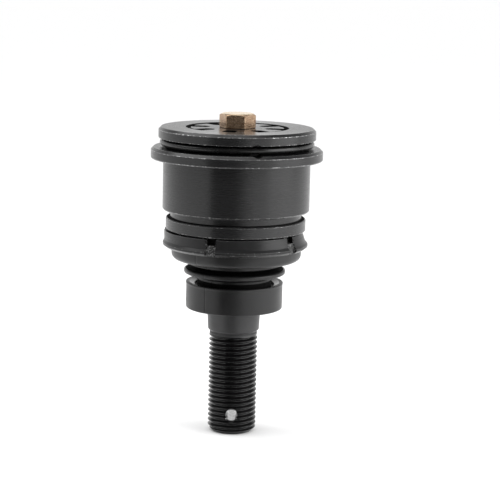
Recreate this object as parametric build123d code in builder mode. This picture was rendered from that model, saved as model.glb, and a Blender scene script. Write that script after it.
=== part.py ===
from build123d import *
from math import atan2, cos, degrees, radians, sin, sqrt, tan
import os

os.makedirs("parts", exist_ok=True)

# Press-in ball joint that hangs with its stud down. All sizes are in millimetres.
# Height zero is the underside of the flange, and every turned piece shares the Z axis.

# Housing, from the top face down
rim_overhang = 2.0
rim_height = 4.4
rim_chamfer = 1.1
ring_groove_width = 3.8
ring_groove_depth = 3.2
flange_overhang = 5.0
flange_height = 4.6
flange_chamfer = 1.1
housing_wall = 11.0
barrel_length = 21.0
barrel_lead = 0.6
snap_groove_width = 3.1
snap_groove_depth = 1.8
land_step = 1.4
land_height = 4.8
nose_step = 4.0
nose_height = 3.0
throat_wall = 2.9
edge_break = 0.35

# Adjuster, its lock screw and the grease plug
adjuster_step = 1.0
adjuster_height = 7.6
adjuster_recess = 0.2
adjuster_chamfer = 0.5
thread_relief_width = 1.2
thread_relief_depth = 0.4
notch_count = 8
notch_width = 4.6
notch_depth = 2.6
notch_length = 8.5
notch_angle = 35.0
lock_dia = 6.0
lock_setback = 1.0
lock_chamfer = 0.5
lock_socket = 3.0
lock_angle = 285.0
pad_dia = 4.8
pad_length = 1.8
plug_hex = 13.0
plug_hex_height = 6.2
plug_hex_angle = -6.6
plug_crown_inset = 0.4
plug_crown_angle = 30.0
plug_thread_dia = 10.0
plug_thread_length = 7.0
plug_thread_chamfer = 1.0

# Sealing ring in the outer groove
o_ring_section = 2.6

# Ball, bearings and spring
ball_dia = 33.0
ball_show = 5.5
ball_flat_cut = 2.0
bearing_wall = 2.5
bearing_split = 0.6
swing_limit = 21.5
swing_room = 1.0
grease_hole_dia = 7.0
grease_groove_width = 2.0
grease_groove_depth = 0.8
spring_height = 2.0
spring_thickness = 1.2
spring_room = 1.0
spring_width = 8.8

# Stud below the ball
neck_dia = 18.0
neck_fillet = 1.2
neck_length = 31.0
flare_length = 5.0
flare_round = 3.0
taper_ratio = 0.1
taper_step = 0.55
shank_below_collar = 9.2
relief_depth = 0.2
relief_length = 2.2
stud_thread_dia = 20.0
stud_thread_length = 41.0
stud_end_chamfer = 1.8
cotter_dia = 4.8
cotter_from_end = 8.4
centre_drill_dia = 5.0
centre_drill_depth = 4.0

# Boot retaining ring
ring_gap = 0.5
ring_seat_step = 2.6
ring_seat_height = 2.2
ring_top_setback = 0.3
ring_wall_lean = 0.6
ring_wall_height = 3.8
ring_lip_reach = 0.8
ring_lip_rise = 1.1
ring_lip_band = 0.9
ring_lip_round = 0.35
ring_foot_setback = 1.3
ring_foot_height = 1.0
slot_count = 5
slot_angle = 251.0
slot_width = 3.7
slot_port_height = 2.4
slot_pocket_width = 4.4
slot_pocket_depth = 0.8

# Rubber boot
boot_wall = 1.7
boot_round = 0.6
shoulder_step = 0.6
shoulder_drop = 5.1
shoulder_round = 2.6
shoulder_split = 5.3
lip_setback = 7.6
lip_height = 2.0
valley_depth = 3.4
valley_drop = 1.2
fold_overhang = 0.95
fold_rise = 0.8
fold_edge = 1.6
boot_neck_gap = 1.98
boot_neck_drop = 1.5
collar_wall = 4.65
collar_gap = 3.8
collar_height = 10.5
collar_round = 1.0
cup_depth = 2.1
cup_rim = 1.2
cup_floor = 1.0
chamber_depth = 1.8
chamber_slope = 1.2

# Clearances
thread_clearance = 0.05
bearing_clearance = 0.05
collar_clearance = 0.1
edge_match = 0.001

# Diameters that follow from the ball outwards
bearing_dia = ball_dia + 2 * bearing_wall
adjuster_dia = bearing_dia + 2 * adjuster_step
spring_outer_dia = bearing_dia - 2 * spring_room
spring_inner_dia = spring_outer_dia - 2 * spring_width
barrel_dia = bearing_dia + 2 * housing_wall
flange_dia = barrel_dia + 2 * flange_overhang
rim_dia = barrel_dia + 2 * rim_overhang
ring_groove_dia = rim_dia - 2 * ring_groove_depth
land_dia = barrel_dia - 2 * land_step
snap_groove_dia = land_dia - 2 * snap_groove_depth
ring_seat_dia = land_dia - 2 * ring_seat_step
nose_dia = ring_seat_dia - 2 * nose_step
ring_top_dia = land_dia - 2 * ring_top_setback
ring_waist_dia = ring_top_dia + 2 * ring_wall_lean
ring_lip_dia = ring_waist_dia + 2 * ring_lip_reach
ring_foot_dia = ring_lip_dia - 2 * ring_foot_setback
shoulder_dia = ring_seat_dia + 2 * shoulder_step
shoulder_split_dia = shoulder_dia - 2 * shoulder_split
lip_dia = shoulder_dia - 2 * lip_setback
valley_dia = lip_dia - 2 * valley_depth
plug_crown_dia = plug_hex - 2 * plug_crown_inset
relief_dia = stud_thread_dia - 2 * relief_depth
taper_small_dia = stud_thread_dia + 2 * taper_step

# Heights that follow from the sizes above
rim_bottom = flange_height + ring_groove_width
rim_top = rim_bottom + rim_height
lock_height = flange_height + ring_groove_width / 2
land_top = -barrel_length - snap_groove_width
land_bottom = land_top - land_height
throat = land_bottom + throat_wall
ball_centre = throat + ball_dia / 2 - ball_show
adjuster_top = rim_top - adjuster_recess
adjuster_bottom = adjuster_top - adjuster_height
relief_floor = adjuster_bottom - thread_relief_width
spring_floor = adjuster_bottom - spring_height
plug_top = adjuster_top + plug_hex_height
ring_top = land_bottom - ring_gap
ring_seat_end = ring_top - ring_seat_height
ring_waist = ring_top - ring_wall_height
ring_lip_top = ring_waist - ring_lip_rise
ring_lip_bottom = ring_lip_top - ring_lip_band
ring_bottom = ring_lip_bottom - ring_foot_height
nose_bottom = ring_seat_end - nose_height
shoulder_bottom = ring_bottom - shoulder_drop
lip_bottom = shoulder_bottom - lip_height
valley = lip_bottom - valley_drop
fold_top = valley - fold_rise
fold_bottom = fold_top - fold_edge
boot_neck_top = fold_bottom - boot_neck_drop
collar_top = fold_bottom - collar_gap
collar_bottom = collar_top - collar_height
cup_bottom = collar_top - cup_depth
chamber_bottom = cup_bottom - chamber_depth
collar_bore_top = chamber_bottom - chamber_slope
taper_bottom = collar_bottom - shank_below_collar
flare_top = ball_centre - neck_length
taper_top = flare_top - flare_length
thread_top = taper_bottom - relief_length
stud_end = thread_top - stud_thread_length
cotter_height = stud_end + cotter_from_end

# Radii that follow from them
ball_radius = ball_dia / 2
pocket_radius = ball_radius + bearing_clearance
bearing_radius = bearing_dia / 2 - bearing_clearance
neck_radius = neck_dia / 2
ball_flat_height = ball_radius - ball_flat_cut
ball_flat_radius = sqrt(ball_radius**2 - ball_flat_height**2)
neck_start = ball_centre - sqrt(ball_radius**2 - neck_radius**2)
notch_inner_radius = adjuster_dia / 2 - notch_length
lock_outer = ring_groove_dia / 2 - lock_setback
lock_inner = adjuster_dia / 2 + pad_length
lock_length = lock_outer - lock_inner
lock_socket_depth = lock_length / 2


def swept_radius(height):
    # Room that the neck needs at this height when the stud leans as far as it goes
    reach = (ball_centre - height) * tan(radians(swing_limit))
    return neck_radius / cos(radians(swing_limit)) + reach + swing_room


def taper_radius(height):
    return taper_small_dia / 2 + (height - taper_bottom) * taper_ratio / 2


# Lower boot, which follows the stud's taper
boot_neck_bore = taper_radius(taper_top) + boot_neck_gap
boot_neck_dia = 2 * (boot_neck_bore + boot_wall)
collar_dia = boot_neck_dia + 2 * collar_wall
fold_dia = collar_dia + 2 * fold_overhang


def radial_plane(angle, distance, height, lean=0.0):
    # Plane that faces away from the axis, leaning back by the given angle
    up = Vector(0, 0, 1)
    outwards = Vector(cos(radians(angle)), sin(radians(angle)), 0)
    sideways = Vector(-sin(radians(angle)), cos(radians(angle)), 0)
    normal = outwards * cos(radians(lean)) + up * sin(radians(lean))
    return Plane(origin=outwards * distance + up * height, x_dir=sideways, z_dir=normal)


def circles(part, dia, low, high):
    # Round edges of one diameter between two heights, both ends included
    edges = part.edges().filter_by(GeomType.CIRCLE)
    rings = edges.filter_by_position(Axis.Z, low - edge_match, high + edge_match)
    return rings.filter_by(lambda edge: abs(edge.radius - dia / 2) < edge_match)


# Housing, turned in one piece
with BuildPart() as housing:
    with BuildSketch(Plane.XZ):
        with BuildLine():
            Polyline(
                (adjuster_dia / 2, rim_top),
                (rim_dia / 2, rim_top),
                (rim_dia / 2, rim_bottom),
                (ring_groove_dia / 2, rim_bottom),
                (ring_groove_dia / 2, flange_height),
                (flange_dia / 2, flange_height),
                (flange_dia / 2, 0),
                (barrel_dia / 2, 0),
                (barrel_dia / 2, -barrel_length),
                (snap_groove_dia / 2, -barrel_length),
                (snap_groove_dia / 2, land_top),
                (land_dia / 2, land_top),
                (land_dia / 2, land_bottom),
                (ring_seat_dia / 2, land_bottom),
                (ring_seat_dia / 2, ring_seat_end),
                (nose_dia / 2, ring_seat_end),
                (nose_dia / 2, nose_bottom),
                (swept_radius(nose_bottom), nose_bottom),
                (swept_radius(throat), throat),
                (bearing_dia / 2, throat),
                (bearing_dia / 2, relief_floor),
                (adjuster_dia / 2 + thread_relief_depth, relief_floor),
                (adjuster_dia / 2 + thread_relief_depth, adjuster_bottom),
                (adjuster_dia / 2, adjuster_bottom),
                close=True,
            )
        make_face()
    revolve(axis=Axis.Z)
    chamfer(circles(housing, rim_dia, rim_top, rim_top), length=rim_chamfer)
    chamfer(circles(housing, adjuster_dia, rim_top, rim_top), length=adjuster_chamfer)
    chamfer(circles(housing, flange_dia, flange_height, flange_height), length=flange_chamfer)
    chamfer(circles(housing, flange_dia, 0, 0), length=edge_break)
    chamfer(circles(housing, barrel_dia, -barrel_length, -barrel_length), length=barrel_lead)
    chamfer(circles(housing, land_dia, land_bottom, land_top), length=edge_break)
    # Radial hole for the lock screw, which also nicks the rim and the flange
    with BuildSketch(radial_plane(lock_angle, 0, lock_height)):
        Circle(lock_dia / 2)
    extrude(amount=flange_dia, mode=Mode.SUBTRACT)
housing.part.label = "housing"
export_step(housing.part, "parts/housing.step")

# Adjuster, a threaded disc with spanner notches round its top
with BuildPart() as adjuster_plug:
    with BuildSketch(Plane.XY.offset(adjuster_bottom)):
        Circle(adjuster_dia / 2 - thread_clearance)
        Circle(plug_thread_dia / 2 + thread_clearance, mode=Mode.SUBTRACT)
    extrude(amount=adjuster_height)
    rims = circles(adjuster_plug, adjuster_dia - 2 * thread_clearance, adjuster_bottom, adjuster_top)
    chamfer(rims, length=adjuster_chamfer)
    with BuildSketch(Plane.XY.offset(adjuster_top)):
        with PolarLocations(adjuster_dia / 2, notch_count, start_angle=notch_angle):
            SlotCenterPoint((0, 0), (notch_inner_radius + notch_width / 2 - adjuster_dia / 2, 0), notch_width)
    extrude(amount=-notch_depth, mode=Mode.SUBTRACT)
adjuster_plug.part.label = "adjuster_plug"
export_step(adjuster_plug.part, "parts/adjuster_plug.step")

# Grease plug: a hexagon with its corners turned off, and a threaded end
with BuildPart() as grease_plug:
    with BuildSketch(Plane.XY.offset(adjuster_top)):
        RegularPolygon(plug_hex / 2, 6, major_radius=False, rotation=plug_hex_angle)
    extrude(amount=plug_hex_height)
    crown_drop = (plug_hex - plug_crown_dia / 2) * tan(radians(plug_crown_angle))
    with BuildSketch(Plane.XZ):
        with BuildLine():
            Polyline(
                (0, plug_top),
                (plug_crown_dia / 2, plug_top),
                (plug_hex, plug_top - crown_drop),
                (plug_hex, adjuster_top - plug_hex),
                (0, adjuster_top - plug_hex),
                close=True,
            )
        make_face()
    revolve(axis=Axis.Z, mode=Mode.INTERSECT)
    with BuildSketch(Plane.XY.offset(adjuster_top)):
        Circle(plug_thread_dia / 2)
    extrude(amount=-plug_thread_length)
    chamfer(grease_plug.edges().group_by(Axis.Z)[0], length=plug_thread_chamfer)
grease_plug.part.label = "grease_plug"
export_step(grease_plug.part, "parts/grease_plug.step")

# Lock screw with a hexagon socket
with BuildPart() as lock_screw:
    with BuildSketch(radial_plane(lock_angle, lock_inner, lock_height)):
        Circle(lock_dia / 2 - thread_clearance)
    extrude(amount=lock_length)
    chamfer(lock_screw.edges().filter_by(GeomType.CIRCLE), length=lock_chamfer)
    with BuildSketch(radial_plane(lock_angle, lock_outer, lock_height)):
        RegularPolygon(lock_socket / 2, 6, major_radius=False)
    extrude(amount=-lock_socket_depth, mode=Mode.SUBTRACT)
lock_screw.part.label = "lock_screw"
export_step(lock_screw.part, "parts/lock_screw.step")

# Soft slug that the lock screw presses on the adjuster's thread
with BuildPart() as lock_pad:
    with BuildSketch(radial_plane(lock_angle, adjuster_dia / 2, lock_height)):
        Circle(pad_dia / 2)
    extrude(amount=pad_length)
lock_pad.part.label = "lock_pad"
export_step(lock_pad.part, "parts/lock_pad.step")

# Sealing ring that covers the lock screw's hole
with BuildPart() as groove_o_ring:
    with BuildSketch(Plane.XZ):
        with Locations(((ring_groove_dia + o_ring_section) / 2, lock_height)):
            Circle(o_ring_section / 2)
    revolve(axis=Axis.Z)
groove_o_ring.part.label = "groove_o_ring"
export_step(groove_o_ring.part, "parts/groove_o_ring.step")

# Disc spring, high at its inner edge
with BuildPart() as disc_spring:
    with BuildSketch(Plane.XZ):
        with BuildLine():
            Polyline(
                (spring_outer_dia / 2, spring_floor),
                (spring_outer_dia / 2, spring_floor + spring_thickness),
                (spring_inner_dia / 2, adjuster_bottom),
                (spring_inner_dia / 2, adjuster_bottom - spring_thickness),
                close=True,
            )
        make_face()
    revolve(axis=Axis.Z)
disc_spring.part.label = "disc_spring"
export_step(disc_spring.part, "parts/disc_spring.step")

# Grease grooves cross the spherical pockets on two upright planes
groove_planes = [Plane.XZ.offset(-grease_groove_width / 2), Plane.YZ.offset(-grease_groove_width / 2)]

# Upper bearing: a bored cup with a spherical pocket
with BuildPart() as upper_bearing_cup:
    with BuildSketch(Plane.XY.offset(ball_centre + bearing_split / 2)):
        Circle(bearing_radius)
        Circle(grease_hole_dia / 2, mode=Mode.SUBTRACT)
    extrude(amount=spring_floor - ball_centre - bearing_split / 2)
    chamfer(circles(upper_bearing_cup, 2 * bearing_radius, ball_centre, spring_floor), length=edge_break)
    with Locations((0, 0, ball_centre)):
        Sphere(pocket_radius, mode=Mode.SUBTRACT)
    with BuildSketch(*groove_planes):
        with Locations((0, ball_centre)):
            Circle(pocket_radius + grease_groove_depth)
    extrude(amount=grease_groove_width, mode=Mode.SUBTRACT)
upper_bearing_cup.part.label = "upper_bearing_cup"
export_step(upper_bearing_cup.part, "parts/upper_bearing_cup.step")

# Lower bearing: a ring with a spherical seat that opens downwards for the neck
with BuildPart() as lower_bearing_seat:
    with BuildSketch(Plane.XZ):
        with BuildLine():
            Polyline(
                (swept_radius(throat), throat),
                (bearing_radius, throat),
                (bearing_radius, ball_centre - bearing_split / 2),
                (swept_radius(ball_centre - bearing_split / 2), ball_centre - bearing_split / 2),
                close=True,
            )
        make_face()
    revolve(axis=Axis.Z)
    chamfer(circles(lower_bearing_seat, 2 * bearing_radius, throat, ball_centre), length=edge_break)
    with Locations((0, 0, ball_centre)):
        Sphere(pocket_radius, mode=Mode.SUBTRACT)
    with BuildSketch(*groove_planes):
        with Locations((0, ball_centre)):
            Circle(pocket_radius + grease_groove_depth)
    extrude(amount=grease_groove_width, mode=Mode.SUBTRACT)
lower_bearing_seat.part.label = "lower_bearing_seat"
export_step(lower_bearing_seat.part, "parts/lower_bearing_seat.step")

# Ball stud: ball, neck, taper, thread relief and plain thread cylinder
with BuildPart() as ball_stud:
    with BuildSketch(Plane.XZ):
        with BuildLine():
            Line((0, ball_centre + ball_flat_height), (ball_flat_radius, ball_centre + ball_flat_height))
            ThreePointArc(
                (ball_flat_radius, ball_centre + ball_flat_height),
                (ball_radius, ball_centre),
                (neck_radius, neck_start),
            )
            Polyline(
                (neck_radius, neck_start),
                (neck_radius, flare_top),
                (taper_radius(taper_top), taper_top),
                (taper_radius(taper_bottom), taper_bottom),
                (relief_dia / 2, taper_bottom - (taper_small_dia - relief_dia) / 2),
                (relief_dia / 2, thread_top),
                (stud_thread_dia / 2, thread_top - (stud_thread_dia - relief_dia) / 2),
                (stud_thread_dia / 2, stud_end + stud_end_chamfer),
                (stud_thread_dia / 2 - stud_end_chamfer, stud_end),
                (0, stud_end),
                (0, ball_centre + ball_flat_height),
            )
        make_face()
    revolve(axis=Axis.Z)
    fillet(circles(ball_stud, neck_dia, neck_start, neck_start), radius=neck_fillet)
    fillet(circles(ball_stud, neck_dia, flare_top, flare_top), radius=flare_round)
    fillet(circles(ball_stud, 2 * taper_radius(taper_top), taper_top, taper_top), radius=flare_round)
    # Centre marks in both ends, left from turning
    with Locations((0, 0, ball_centre + ball_flat_height - centre_drill_depth / 2)):
        Cone(0, centre_drill_dia / 2, centre_drill_depth, mode=Mode.SUBTRACT)
    with Locations((0, 0, stud_end + centre_drill_depth / 2)):
        Cone(centre_drill_dia / 2, 0, centre_drill_depth, mode=Mode.SUBTRACT)
    # Cross hole for a cotter pin
    with BuildSketch(Plane.XZ):
        with Locations((0, cotter_height)):
            Circle(cotter_dia / 2)
    extrude(amount=stud_thread_dia, both=True, mode=Mode.SUBTRACT)
ball_stud.part.label = "ball_stud"
export_step(ball_stud.part, "parts/ball_stud.step")

# Retaining ring: leaning wall, rolled lip and stepped slots
with BuildPart() as boot_retaining_ring:
    with BuildSketch(Plane.XZ):
        with BuildLine():
            Polyline(
                (ring_seat_dia / 2, ring_top),
                (ring_top_dia / 2, ring_top),
                (ring_waist_dia / 2, ring_waist),
                (ring_lip_dia / 2, ring_lip_top),
                (ring_lip_dia / 2, ring_lip_bottom),
                (ring_foot_dia / 2, ring_bottom),
                (shoulder_dia / 2, ring_bottom),
                (shoulder_dia / 2, ring_seat_end),
                (ring_seat_dia / 2, ring_seat_end),
                close=True,
            )
        make_face()
    revolve(axis=Axis.Z)
    fillet(circles(boot_retaining_ring, ring_lip_dia, ring_lip_bottom, ring_lip_top), radius=ring_lip_round)
    slot_angles = [slot_angle + 360 / slot_count * index for index in range(slot_count)]
    # Each slot is open at the top, where a tool reaches the edge of the housing
    with BuildSketch(*[radial_plane(angle, 0, ring_top) for angle in slot_angles]):
        Rectangle(slot_width, 2 * slot_port_height)
    extrude(amount=ring_lip_dia, mode=Mode.SUBTRACT)
    # Below the opening a shallow pocket follows the leaning wall and breaks through the lip
    lean_slope = (ring_waist_dia - ring_top_dia) / 2 / ring_wall_height
    lean = degrees(atan2(lean_slope, 1))
    pocket_radius_top = ring_top_dia / 2 - slot_pocket_depth
    pocket_length = 2 * (ring_top - ring_bottom)
    pocket_planes = [radial_plane(angle, pocket_radius_top, ring_top, lean) for angle in slot_angles]
    with BuildSketch(*pocket_planes):
        Rectangle(slot_pocket_width, pocket_length + ring_lip_rise)
    extrude(amount=ring_lip_dia - ring_top_dia, mode=Mode.SUBTRACT)
boot_retaining_ring.part.label = "boot_retaining_ring"
export_step(boot_retaining_ring.part, "parts/boot_retaining_ring.step")

# Boot, upper part: the bead under the retaining ring and the shoulder
with BuildPart() as boot_shoulder:
    with BuildSketch(Plane.XZ):
        with BuildLine():
            Polyline(
                (nose_dia / 2, ring_seat_end),
                (shoulder_dia / 2, ring_seat_end),
                (shoulder_dia / 2, shoulder_bottom),
                (shoulder_split_dia / 2, shoulder_bottom),
                (shoulder_split_dia / 2, shoulder_bottom + boot_wall),
                (nose_dia / 2, shoulder_bottom + boot_wall),
                close=True,
            )
        make_face()
    revolve(axis=Axis.Z)
    fillet(circles(boot_shoulder, shoulder_dia, shoulder_bottom, shoulder_bottom), radius=shoulder_round)
boot_shoulder.part.label = "boot_shoulder"
export_step(boot_shoulder.part, "parts/boot_shoulder.step")

# Boot, middle part: lip, valley, fold and lower neck, all with one wall thickness
with BuildPart() as boot_fold:
    with BuildSketch(Plane.XZ):
        with BuildLine():
            outside = FilletPolyline(
                (shoulder_split_dia / 2, shoulder_bottom),
                (lip_dia / 2, shoulder_bottom),
                (lip_dia / 2, lip_bottom),
                (valley_dia / 2, valley),
                (fold_dia / 2, fold_top),
                (fold_dia / 2, fold_bottom),
                (boot_neck_dia / 2, boot_neck_top),
                (boot_neck_dia / 2, cup_bottom),
                radius=boot_round,
            )
            inside = FilletPolyline(
                (shoulder_split_dia / 2, shoulder_bottom + boot_wall),
                (lip_dia / 2 - boot_wall, shoulder_bottom + boot_wall),
                (lip_dia / 2 - boot_wall, lip_bottom + boot_wall / 2),
                (valley_dia / 2 - boot_wall, valley),
                (fold_dia / 2 - boot_wall, (fold_top + fold_bottom) / 2),
                (boot_neck_bore, boot_neck_top + boot_wall / 2),
                (boot_neck_bore, cup_bottom),
                radius=boot_round / 2,
            )
            Line(outside @ 0, inside @ 0)
            Line(outside @ 1, inside @ 1)
        make_face()
    revolve(axis=Axis.Z)
boot_fold.part.label = "boot_fold"
export_step(boot_fold.part, "parts/boot_fold.step")

# Boot, lower part: the collar, cupped at the top and bored to the stud's taper
with BuildPart() as boot_collar:
    with BuildSketch(Plane.XZ):
        with BuildLine():
            Polyline(
                (collar_dia / 2, collar_top),
                (collar_dia / 2, collar_bottom),
                (taper_radius(collar_bottom) + collar_clearance, collar_bottom),
                (taper_radius(collar_bore_top) + collar_clearance, collar_bore_top),
                (boot_neck_bore, chamber_bottom),
                (boot_neck_bore, cup_bottom),
                (boot_neck_dia / 2 + cup_floor, cup_bottom),
                (collar_dia / 2 - cup_rim, collar_top),
                close=True,
            )
        make_face()
    revolve(axis=Axis.Z)
    fillet(circles(boot_collar, collar_dia, collar_bottom, collar_bottom), radius=collar_round)
    fillet(circles(boot_collar, collar_dia, collar_top, collar_top), radius=cup_rim / 3)
boot_collar.part.label = "boot_collar"
export_step(boot_collar.part, "parts/boot_collar.step")
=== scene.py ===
import math
import bmesh
import bpy
from mathutils import Matrix, Vector


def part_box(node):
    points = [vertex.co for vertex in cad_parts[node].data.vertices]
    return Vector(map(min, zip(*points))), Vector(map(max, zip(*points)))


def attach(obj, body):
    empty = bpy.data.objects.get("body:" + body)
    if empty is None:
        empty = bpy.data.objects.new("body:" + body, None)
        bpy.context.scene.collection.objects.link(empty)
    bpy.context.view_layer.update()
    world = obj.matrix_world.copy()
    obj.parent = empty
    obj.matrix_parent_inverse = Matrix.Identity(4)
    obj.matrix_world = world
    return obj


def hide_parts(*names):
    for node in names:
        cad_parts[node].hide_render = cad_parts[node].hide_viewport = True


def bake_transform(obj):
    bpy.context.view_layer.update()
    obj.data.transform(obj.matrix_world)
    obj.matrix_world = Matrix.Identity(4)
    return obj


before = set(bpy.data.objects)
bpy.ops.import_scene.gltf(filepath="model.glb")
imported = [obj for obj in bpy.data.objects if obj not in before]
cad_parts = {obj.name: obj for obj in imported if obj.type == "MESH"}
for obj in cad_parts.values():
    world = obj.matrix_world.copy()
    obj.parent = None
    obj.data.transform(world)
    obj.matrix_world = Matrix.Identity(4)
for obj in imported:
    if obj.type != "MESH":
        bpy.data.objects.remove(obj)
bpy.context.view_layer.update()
mm = 0.001  # sizes below are in millimetres, meshes in metres

print("frame loaded:", ", ".join(sorted(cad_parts)))


# sizes read from the frame
def topOf(nodeName):
    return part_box(nodeName)[1].z / mm


def bottomOf(nodeName):
    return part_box(nodeName)[0].z / mm


def radiusOf(nodeName):
    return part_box(nodeName)[1].x / mm


# mesh tools shared by the turned pieces
flatHold = 0.4  # share of a rounding that keeps the flats flat next to it
sharpBend = 35  # degrees, edges that turn more stay sharp


def softened(corners, arcSteps=4):
    # each corner is (radius, height, rounding); gives (radius, height, edge) with edge 1 on outer corners
    count = len(corners)
    flat = [Vector(corner[:2]) for corner in corners]
    turnSum = sum(flat[i - 1].x * flat[i].y - flat[i].x * flat[i - 1].y for i in range(count))
    outline = []
    for i, (radius, height, rounding) in enumerate(corners):
        here = flat[i]
        before = flat[i - 1] - here
        after = flat[(i + 1) % count] - here
        if rounding == 0:
            outline.append((radius, height, 0.0))
            continue
        cross = after.x * before.y - after.y * before.x
        outerEdge = 1.0 if cross * turnSum > 0 else 0.0
        before.normalize()
        after.normalize()
        half = before.angle(after) / 2
        reach = rounding / math.tan(half)
        centre = here + (before + after).normalized() * rounding / math.sin(half)
        first = here + before * reach - centre
        last = here + after * reach - centre
        hold = rounding * flatHold
        outline.append((*(centre + first + before * hold), 0.0))
        for step in range(arcSteps + 1):
            spoke = first.slerp(last, step / arcSteps) * rounding
            outline.append((*(centre + spoke), outerEdge))
        outline.append((*(centre + last + after * hold), 0.0))
    return outline


def evenAngles(count):
    return [2 * math.pi * i / count for i in range(count)]


def linked(name, data):
    made = bpy.data.objects.new(name, data)
    bpy.context.scene.collection.objects.link(made)
    return made


def smoothed(mesh, bend):
    for face in mesh.polygons:
        face.use_smooth = True
    mesh.set_sharp_from_angle(angle=math.radians(bend))


def skinned(name, rows, closed=False, bend=sharpBend):
    # rows of (x, y, z, edge) in millimetres; a row with one point is a pole
    bm = bmesh.new()
    edgeLayer = bm.verts.layers.float.new("edgeWear")
    rings = []
    for row in rows:
        ring = []
        for x, y, z, edge in row:
            vert = bm.verts.new((x * mm, y * mm, z * mm))
            vert[edgeLayer] = edge
            ring.append(vert)
        rings.append(ring)
    pairs = list(zip(rings, rings[1:]))
    if closed:
        pairs.append((rings[-1], rings[0]))
    for upper, lower in pairs:
        count = max(len(upper), len(lower))
        for i in range(count):
            corners = [upper[i % len(upper)], upper[(i + 1) % len(upper)]]
            corners += [lower[(i + 1) % len(lower)], lower[i % len(lower)]]
            unique = list(dict.fromkeys(corners))
            if len(unique) > 2:
                bm.faces.new(unique)
    bmesh.ops.recalc_face_normals(bm, faces=bm.faces)
    mesh = bpy.data.meshes.new(name)
    bm.to_mesh(mesh)
    bm.free()
    smoothed(mesh, bend)
    return linked(name, mesh)


def spun(outline, angles, shift=None):
    # turns an outline round the axis; shift(angle, height) moves the skin in or out
    rows = []
    for radius, height, edge in outline:
        if radius == 0:
            rows.append([(0.0, 0.0, height, edge)])
            continue
        row = []
        for angle in angles:
            wide = radius + (shift(angle, height) if shift else 0.0)
            row.append((wide * math.cos(angle), wide * math.sin(angle), height, edge))
        rows.append(row)
    return rows


def carved(piece, cutters, bend=sharpBend):
    for cutter in cutters:
        cut = piece.modifiers.new("cut", "BOOLEAN")
        cut.operation = "DIFFERENCE"
        cut.solver = "EXACT"
        cut.material_mode = "TRANSFER"
        cut.object = cutter
    ready = bpy.context.evaluated_depsgraph_get()
    mesh = bpy.data.meshes.new_from_object(piece.evaluated_get(ready))
    piece.modifiers.clear()
    piece.data = mesh
    smoothed(mesh, bend)
    for cutter in cutters:
        bpy.data.objects.remove(cutter)


def outwards(angle, lean=0.0):
    # turns +Z to point away from the axis at that plan angle, tipped up by lean
    return Matrix.Rotation(angle, 4, "Z") @ Matrix.Rotation(math.pi / 2 - lean, 4, "Y")


def placed(piece, matrix):
    piece.data.transform(matrix)
    return piece


def at(x, y, z):
    return Matrix.Translation((x * mm, y * mm, z * mm))


def prism(name, outline, low, high):
    rows = [[(0, 0, low, 0)], [(x, y, low, 0) for x, y in outline]]
    rows += [[(x, y, high, 0) for x, y in outline], [(0, 0, high, 0)]]
    return skinned(name, rows)


def barCutter(name, halfLength, radius, low, high, sides=48):
    # prism along Z with rounded ends, round where halfLength is 0
    outline = []
    for angle in evenAngles(sides):
        side = halfLength if math.cos(angle) >= 0 else -halfLength
        outline.append((radius * math.cos(angle) + side, radius * math.sin(angle)))
    return prism(name, outline, low, high)


def blockCutter(name, width, height, low, high):
    # block along Z, width across X and height across Y
    corners = [(sx * width / 2, sy * height / 2) for sx, sy in ((1, 1), (-1, 1), (-1, -1), (1, -1))]
    return prism(name, corners, low, high)


# material tools
def node(tree, kind, inputs=None, **settings):
    made = tree.nodes.new("ShaderNode" + kind)
    for key, value in settings.items():
        setattr(made, key, value)
    for key, value in (inputs or {}).items():
        if isinstance(value, bpy.types.NodeSocket):
            tree.links.new(value, made.inputs[key])
        else:
            made.inputs[key].default_value = value
    return made


def newFinish(name):
    material = bpy.data.materials.new(name)
    material.use_nodes = True
    tree = material.node_tree
    shader = tree.nodes["Principled BSDF"]
    return material, tree, shader


def grain(tree, where, scale, detail=3.0, rough=0.55):
    made = node(tree, "TexNoise", {"Vector": where, "Scale": scale, "Detail": detail, "Roughness": rough})
    return made.outputs["Fac"]


def ramp(tree, value, low, high, start=0.0, end=1.0):
    limits = {"From Min": low, "From Max": high, "To Min": start, "To Max": end}
    return node(tree, "MapRange", {"Value": value, **limits}).outputs["Result"]


def math2(tree, kind, first, second):
    return node(tree, "Math", {0: first, 1: second}, operation=kind).outputs[0]


def tinted(tree, share, dark, light):
    tones = [tone if isinstance(tone, bpy.types.NodeSocket) else (*tone, 1) for tone in (dark, light)]
    return node(tree, "MixRGB", {"Fac": share, "Color1": tones[0], "Color2": tones[1]}).outputs["Color"]


def objectPlace(tree):
    return node(tree, "TexCoord").outputs["Object"]


def latheLines(tree, place, around=0.4):
    # coordinates that run along the radius and the height, and only slowly round the axis
    split = node(tree, "SeparateXYZ", {"Vector": place})
    x, y, z = (split.outputs[axis] for axis in "XYZ")
    squares = math2(tree, "ADD", math2(tree, "MULTIPLY", x, x), math2(tree, "MULTIPLY", y, y))
    radius = math2(tree, "SQRT", squares, 0.0)
    turn = math2(tree, "MULTIPLY", math2(tree, "ARCTAN2", y, x), around * mm)
    return node(tree, "CombineXYZ", {"X": radius, "Y": z, "Z": turn}).outputs["Vector"]


def bumped(tree, shader, height, strength, depth):
    made = node(tree, "Bump", {"Strength": strength, "Distance": depth * mm, "Height": height})
    tree.links.new(made.outputs["Normal"], shader.inputs["Normal"])


grainSpan = (0.3, 0.7)  # the levels that most of a noise texture lies between


def roughened(tree, shader, texture, roughLow, roughHigh):
    rough = ramp(tree, texture, *grainSpan, roughLow, roughHigh)
    tree.links.new(rough, shader.inputs["Roughness"])


print("tools ready")


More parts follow.
